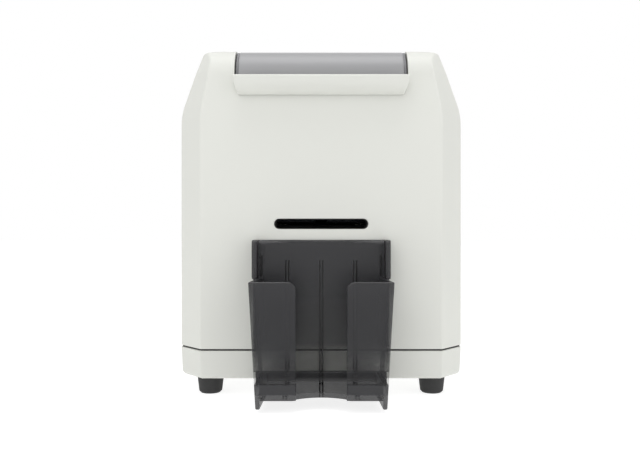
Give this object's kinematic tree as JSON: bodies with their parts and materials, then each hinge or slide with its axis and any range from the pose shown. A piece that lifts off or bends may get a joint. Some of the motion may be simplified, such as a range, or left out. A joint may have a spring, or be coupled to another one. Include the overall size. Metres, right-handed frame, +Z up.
{
  "type": "id card printer",
  "caption": "Desktop printer for plastic cards: top cover over a ribbon bay, rear card bin with door, front slot and hanging smoked output tray.",
  "frame": {"origin": "middle of the part's footprint, on the table that the feet stand on", "axes": "+X to the printer's right as seen from the front, +Y from the front face to the back, +Z up"},
  "size_m": [0.18, 0.3675, 0.218],
  "materials": {
    "shell_white": "fine satin texture",
    "lid_grey": "fine satin texture",
    "smoke": "clear smoked, gloss",
    "rubber_black": "matte",
    "deck_grey": "moulded, matte",
    "steel": "satin",
    "aluminium": "satin",
    "board_green": "varnished",
    "ribbon_black": "gloss film",
    "core_cream": "moulded, matte",
    "clean_blue": "tacky, satin",
    "sleeve_black": "ground, matte"
  },
  "bodies": {
    "chassis": {"base_pan": "shell_white", "upper_casing": "shell_white", "seam_gasket": "rubber_black", "rubber_feet": "rubber_black", "case_screws": "steel", "chassis_left": "steel", "chassis_right": "steel", "tie_bars": "steel", "shaft_bushes": "core_cream", "exit_chute": "rubber_black", "card_guides": "deck_grey", "ribbon_cassette": "deck_grey", "ribbon_film": "ribbon_black", "transport_motor": "steel", "ribbon_motor": "steel", "feed_motor": "steel", "main_board": "board_green", "dc_jack": "deck_grey", "usb_port": "steel", "lan_port": "steel", "switch_housing": "deck_grey", "fan_housing": "deck_grey", "control_board": "board_green", "hopper_chute": "deck_grey", "drive_belt": "rubber_black", "lid_magnets": "steel", "hinge_pins": "steel", "inner_deck": "deck_grey"},
    "lid": {"lid_panel": "lid_grey", "lid_lip": "shell_white", "lid_frame": "deck_grey", "lid_strikers": "steel", "head_springs": "steel"},
    "thermal_head": {"head_bracket": "steel", "heat_sink": "aluminium", "print_head": "core_cream"},
    "tray": {"output_tray": "smoke"},
    "rear_door": {"hopper_door": "smoke"},
    "weight": {"card_weight": "deck_grey"},
    "supply_spool": {"supply_core": "core_cream", "supply_roll": "ribbon_black"},
    "takeup_spool": {"takeup_core": "core_cream", "takeup_roll": "ribbon_black", "takeup_gear": "core_cream"},
    "pinion": {"ribbon_pinion": "core_cream"},
    "platen": {"platen_shaft": "steel", "platen_sleeve": "sleeve_black"},
    "exit_drive": {"exit_roller": "sleeve_black"},
    "middle_drive": {"middle_roller": "sleeve_black"},
    "entry_drive": {"entry_roller": "sleeve_black"},
    "exit_pinch": {"exit_pinch_roller": "steel"},
    "middle_pinch": {"middle_pinch_roller": "steel"},
    "entry_pinch": {"entry_pinch_roller": "steel"},
    "cleaner": {"cleaning_roller": "clean_blue"},
    "picker": {"pick_roller": "sleeve_black"},
    "drive_pulley": {"motor_pulley": "aluminium"},
    "fan": {"fan_rotor": "deck_grey"},
    "rocker": {"power_rocker": "deck_grey"},
    "feed_key": {"feed_button": "lid_grey"},
    "menu_key": {"menu_button": "lid_grey"}
  },
  "joints": [
    {"name": "lid_hinge", "type": "hinge", "parent": "chassis", "child": "lid", "pos_m": [0, 0.15825, 0.2128], "axis": [-1, 0, 0], "range_deg": [0, 80]},
    {"name": "head_press", "type": "slide", "parent": "lid", "child": "thermal_head", "axis": [0, 0, -1], "range_m": [0, 0.0015], "deforming": ["head_springs"]},
    {"name": "tray_lift", "type": "slide", "parent": "chassis", "child": "tray", "axis": [0, 0, 1], "range_m": [0, 0.0058]},
    {"name": "rear_door_hinge", "type": "hinge", "parent": "chassis", "child": "rear_door", "pos_m": [0, 0.18115, 0.0947], "axis": [-1, 0, 0], "range_deg": [0, 90]},
    {"name": "weight_slide", "type": "slide", "parent": "chassis", "child": "weight", "axis": [0, 0, 1], "range_m": [0, 0.06025]},
    {"name": "supply_spool_turn", "type": "hinge", "parent": "chassis", "child": "supply_spool", "pos_m": [0, 0.02825, 0.142], "axis": [1, 0, 0], "continuous": true},
    {"name": "takeup_spool_turn", "type": "hinge", "parent": "chassis", "child": "takeup_spool", "pos_m": [0, -0.06175, 0.142], "axis": [1, 0, 0], "continuous": true},
    {"name": "ribbon_pinion_turn", "type": "hinge", "parent": "chassis", "child": "pinion", "pos_m": [-0.054, -0.03775, 0.142], "axis": [1, 0, 0], "continuous": true},
    {"name": "platen_turn", "type": "hinge", "parent": "chassis", "child": "platen", "pos_m": [0, -0.01675, 0.0989], "axis": [1, 0, 0], "continuous": true},
    {"name": "exit_roller_turn", "type": "hinge", "parent": "chassis", "child": "exit_drive", "pos_m": [0, -0.11175, 0.1009], "axis": [1, 0, 0], "continuous": true},
    {"name": "middle_roller_turn", "type": "hinge", "parent": "chassis", "child": "middle_drive", "pos_m": [0, -0.05775, 0.1009], "axis": [1, 0, 0], "continuous": true},
    {"name": "entry_roller_turn", "type": "hinge", "parent": "chassis", "child": "entry_drive", "pos_m": [0, 0.02425, 0.1009], "axis": [1, 0, 0], "continuous": true},
    {"name": "drive_pulley_turn", "type": "hinge", "parent": "chassis", "child": "drive_pulley", "pos_m": [-0.054, -0.04375, 0.07], "axis": [1, 0, 0], "continuous": true},
    {"name": "exit_pinch_turn", "type": "hinge", "parent": "chassis", "child": "exit_pinch", "pos_m": [0, -0.11175, 0.1127], "axis": [1, 0, 0], "continuous": true},
    {"name": "middle_pinch_turn", "type": "hinge", "parent": "chassis", "child": "middle_pinch", "pos_m": [0, -0.05775, 0.1127], "axis": [1, 0, 0], "continuous": true},
    {"name": "entry_pinch_turn", "type": "hinge", "parent": "chassis", "child": "entry_pinch", "pos_m": [0, 0.02425, 0.1127], "axis": [1, 0, 0], "continuous": true},
    {"name": "cleaning_roller_turn", "type": "hinge", "parent": "chassis", "child": "cleaner", "pos_m": [0, 0.05425, 0.1157], "axis": [1, 0, 0], "continuous": true},
    {"name": "pick_roller_turn", "type": "hinge", "parent": "chassis", "child": "picker", "pos_m": [0, 0.10425, 0.0949], "axis": [1, 0, 0], "continuous": true},
    {"name": "fan_turn", "type": "hinge", "parent": "chassis", "child": "fan", "pos_m": [0.057, 0.17025, 0.078], "axis": [0, 1, 0], "continuous": true},
    {"name": "power_rock", "type": "hinge", "parent": "chassis", "child": "rocker", "pos_m": [-0.057, 0.17485, 0.048], "axis": [1, 0, 0], "range_deg": [0, 12]},
    {"name": "feed_press", "type": "slide", "parent": "chassis", "child": "feed_key", "axis": [0, 0, -1], "range_m": [0, 0.0006], "stiffness_N_per_m": 400, "springref_m": -0.0005},
    {"name": "menu_press", "type": "slide", "parent": "chassis", "child": "menu_key", "axis": [0, 0, -1], "range_m": [0, 0.0006], "stiffness_N_per_m": 400, "springref_m": -0.0005}
  ],
  "couplings": [
    {"joint": "exit_roller_turn", "follows": "platen_turn", "ratio": 1.3333},
    {"joint": "middle_roller_turn", "follows": "platen_turn", "ratio": 1.3333},
    {"joint": "entry_roller_turn", "follows": "platen_turn", "ratio": 1.3333},
    {"joint": "drive_pulley_turn", "follows": "platen_turn", "ratio": 1.3333},
    {"joint": "ribbon_pinion_turn", "follows": "takeup_spool_turn", "ratio": -3}
  ]
}
